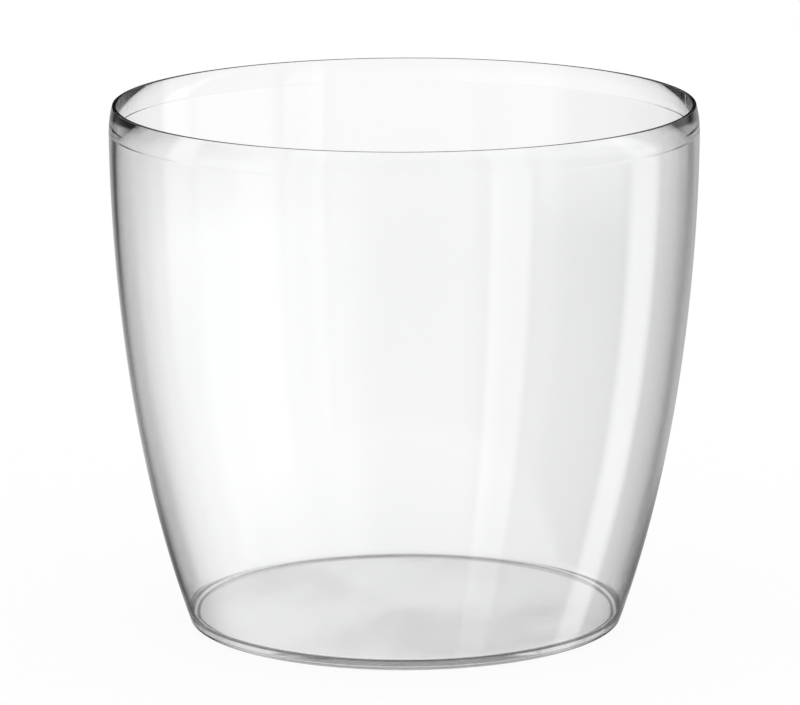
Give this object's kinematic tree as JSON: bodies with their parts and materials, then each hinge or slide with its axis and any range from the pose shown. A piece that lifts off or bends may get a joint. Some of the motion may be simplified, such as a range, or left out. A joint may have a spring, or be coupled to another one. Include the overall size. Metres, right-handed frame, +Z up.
{
  "type": "plant pot",
  "caption": "Round clear plastic plant pot, tapering in a soft curve to a flat closed base, with a band under the flat lip that turns slightly inward.",
  "frame": {"origin": "centre of the base, on the surface that the pot stands on", "axes": "+Z up along the pot's axis, towards the open mouth; +X to the right and +Y away from the viewer in the picture"},
  "size_m": [0.22, 0.22, 0.1965],
  "materials": {
    "clear_plastic": "polished, water clear, injection moulded"
  },
  "bodies": {
    "root": {"pot": "clear_plastic"}
  },
  "joints": []
}
